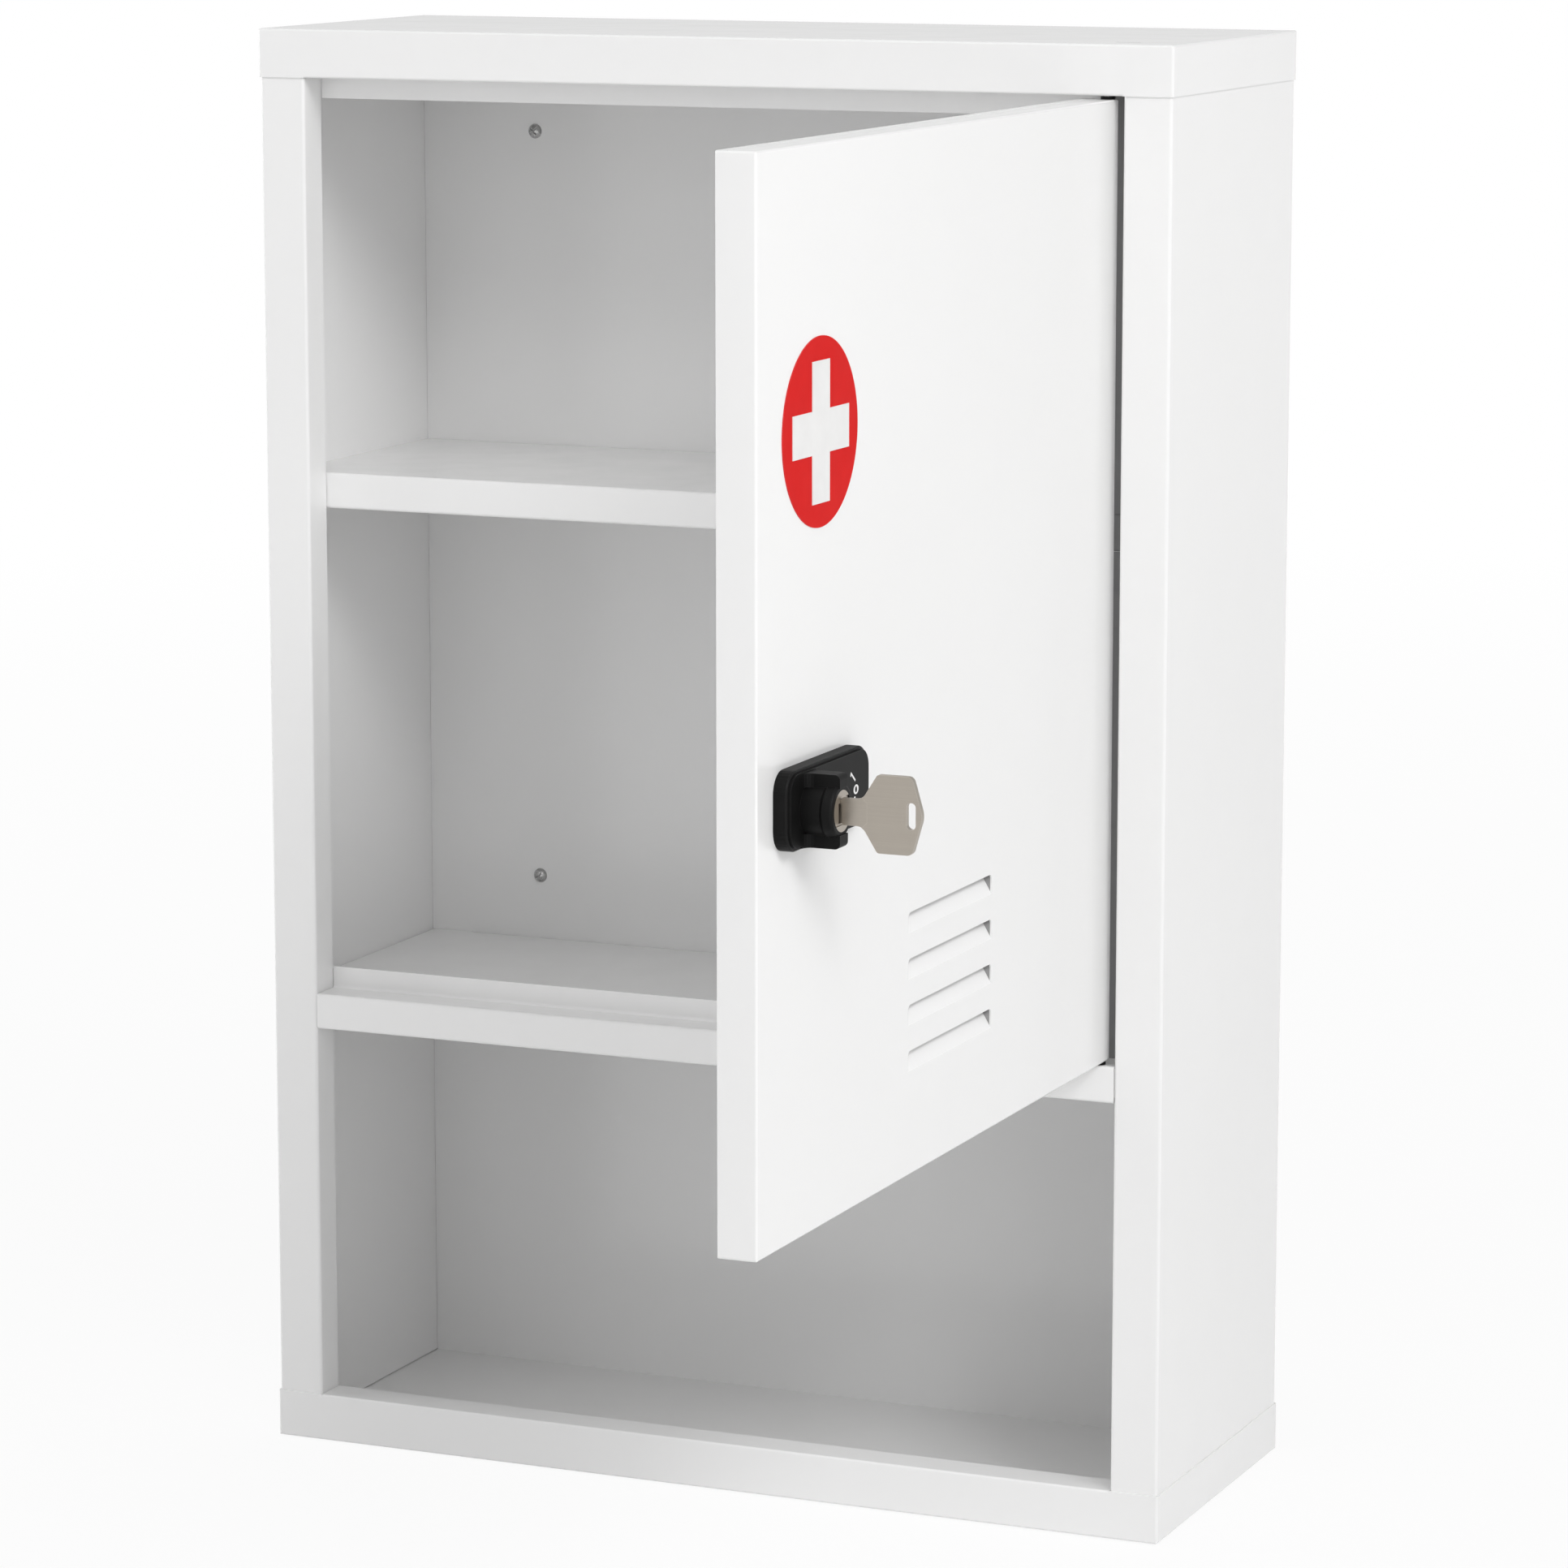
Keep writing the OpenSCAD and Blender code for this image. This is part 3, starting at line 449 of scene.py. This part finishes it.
# the end webs wear the dark coat of painted shade
finish_piece(joined("louvre_end_webs", webs), "door", "powder_coat", "painted_shade_coat")


# ---- Marks on the lock's plate: 1, 0 and a dot, printed in white ----

LOCK_AT = Vector((175.1, -388.0, 351.1)) * MM  # lock's axis on the door's face
PLATE_FACE = 6.2 * MM                          # plate's face in front of the door's
PRINT_T = 0.05 * MM

# Outlines in mm round each mark's own middle
ONE = [(0.41, -2.65), (0.41, 2.65), (-0.25, 2.65), (-1.15, 2.4), (-1.15, 1.6), (-0.41, 1.8),
       (-0.41, -2.65)]
ZERO, ZERO_HOLE, DOT = ellipse(2.25, 1.7), ellipse(0.95, 1.1), ellipse(0.75, 0.5)


def on_plate(along, up, tilt=0.0):
    """Places a mark's points on the plate: mm from the lock's axis, degrees anticlockwise."""
    turn = math.radians(tilt)

    def place(a, b, d):
        u = along + a * math.cos(turn) - b * math.sin(turn)
        v = up + a * math.sin(turn) + b * math.cos(turn)
        return LOCK_AT + Vector((PLATE_FACE - PRINT_T / 2 + d, u * MM, v * MM))

    return place


for mark in (extruded("mark_one", ONE, on_plate(38.6, 5.0, tilt=51), PRINT_T),
             ring("mark_zero", ZERO, ZERO_HOLE, on_plate(41.3, 0.15, tilt=5), PRINT_T),
             extruded("mark_dot", DOT, on_plate(40.1, -2.7), PRINT_T)):
    finish_piece(mark, "door", "label_white")


# ---- Paint fillet along the foot of the lower door stop ----

STOP_Y, FLOOR_Z = -58.9, 195.0        # mm: front of the stop, top of the rail's sheet
BEAD_R, BEAD_X0, BEAD_LENGTH = 1.3, -179.1, 349.3
BEAD_STEPS = 9

# Section in mm from the stop's foot: the hollow front, then the part inside the stop's bend
BEAD = [(-BEAD_R + BEAD_R * math.sin(t), BEAD_R - BEAD_R * math.cos(t))
        for t in (math.radians(90 * i / BEAD_STEPS) for i in range(BEAD_STEPS + 1))]
BEAD += [(0.6, BEAD_R), (1.2, 0.3), (1.2, 0.0)]


def along_stop(a, b, d):
    """Places the fillet's section; its length runs along +X."""
    return Vector((d + BEAD_X0 * MM, (STOP_Y + a) * MM, (FLOOR_Z + b) * MM))


fillet = soften(extruded("stop_paint_fillet", BEAD, along_stop, BEAD_LENGTH * MM))
finish_piece(fillet, "cabinet", "powder_coat")


# ---- Camera ----

IMAGE_PX, SENSOR_MM = 1932, 36.0
FOCAL_PX = 7121.97
CAMERA_AT = Vector((951.65, -2193.14, 699.62)) * MM
YAW, PITCH = -0.4079, 0.1715  # radians; the camera looks down by the pitch

camera = new_object("camera", bpy.data.cameras.new("camera"))
camera.data.sensor_fit = "HORIZONTAL"
camera.data.sensor_width = SENSOR_MM
camera.data.lens = FOCAL_PX / IMAGE_PX * SENSOR_MM
camera.data.clip_start, camera.data.clip_end = 0.1, 50.0
camera.location = CAMERA_AT
aim(camera, Vector((math.sin(YAW) * math.cos(PITCH), math.cos(YAW) * math.cos(PITCH),
                    -math.sin(PITCH))))
scene.camera = camera


# ---- Lamps ----

LIGHT_AIM = Vector((0.0, -0.1, 0.3))
LIGHT_DISTANCE = 3.0

# Azimuth (degrees from straight ahead, towards the right), elevation, size in m, power in W
SOFTBOXES = {
    "key_light": (50, 36, 0.8, 22.1),
    "right_key": (70, 35, 0.8, 16.3),
    "left_fill": (-85, 15, 1.3, 34.9),
    "overhead": (0, 65, 1.3, 6.1),
    "low_right": (40, 12, 0.8, 4.6),
    "front_left": (-20, 32, 1.3, 4.6),
    "high_key": (35, 45, 1.3, 4.2),
    "right_fill": (90, 20, 1.3, 3.1),
    "low_front": (5, 8, 1.3, 2.4),
    "front_spot": (33, 25, 0.6, 1.2),
}

for lamp_name, (azimuth, elevation, size, power) in SOFTBOXES.items():
    lamp = bpy.data.lights.new(lamp_name, "AREA")
    lamp.shape = "SQUARE"
    lamp.size = size
    lamp.energy = power
    box = new_object(lamp_name, lamp)
    a, e = math.radians(azimuth), math.radians(elevation)
    away = Vector((math.sin(a) * math.cos(e), -math.cos(a) * math.cos(e), math.sin(e)))
    box.location = LIGHT_AIM + LIGHT_DISTANCE * away
    aim(box, -away)
    box.visible_camera = False


# ---- World: soft light, seen as white up to the horizon and a little greyer above it ----

SOFT_STRENGTH = 0.395
SKY_TONE, SKY_RISE = 0.74, 0.04  # tone, and the sine of the elevation where it is reached

world = bpy.data.worlds.new("world")
scene.world = world
n = Nodes(world, "ShaderNodeOutputWorld")
heading = n.fill("ShaderNodeSeparateXYZ", {"Vector": n.coords["Generated"]}).outputs["Z"]
sky = n.ramp(heading, 0.0, SKY_RISE, 1.0, SKY_TONE)
soft = n.fill("ShaderNodeBackground", {"Color": WHITE, "Strength": SOFT_STRENGTH})
seen = n.fill("ShaderNodeBackground", {"Color": WHITE, "Strength": sky})
n.surface(n.fill("ShaderNodeMixShader", {0: n.sees_white(), 1: soft.outputs["Background"],
                                         2: seen.outputs["Background"]}).outputs["Shader"])


# ---- Floor: matt and pale, seen as almost white near the object and as white far from it ----

FLOOR_HALF, FLOOR_DROP = 6.0, 0.0005
FLOOR_TONE = 0.86
NEAR, NEAR_GLOW = 0.4, 0.90  # distance in m, and the share of white there
FAR, FAR_GLOW = 3.0, 1.0

corners = [(-FLOOR_HALF, -FLOOR_HALF, 0), (FLOOR_HALF, -FLOOR_HALF, 0),
           (FLOOR_HALF, FLOOR_HALF, 0), (-FLOOR_HALF, FLOOR_HALF, 0)]
floor = mesh_object("floor", corners, [(0, 1, 2, 3)])
floor.location.z = -FLOOR_DROP
n = Nodes(bpy.data.materials.new("pale_floor"))
distance = n.fill("ShaderNodeVectorMath", {0: n.coords["Object"]}, operation="LENGTH")
share = n.ramp(distance.outputs["Value"], NEAR, FAR, NEAR_GLOW, FAR_GLOW)
matt = n.fill("ShaderNodeBsdfDiffuse", {"Color": grey(FLOOR_TONE)})
glow = n.fill("ShaderNodeEmission", {"Color": WHITE, "Strength": 1.0})
n.surface(n.fill("ShaderNodeMixShader", {0: n.math("MULTIPLY", n.sees_white(), share),
                                         1: matt.outputs["BSDF"],
                                         2: glow.outputs["Emission"]}).outputs["Shader"])
floor.data.materials.append(n.owner)

scene.view_settings.view_transform = "Standard"
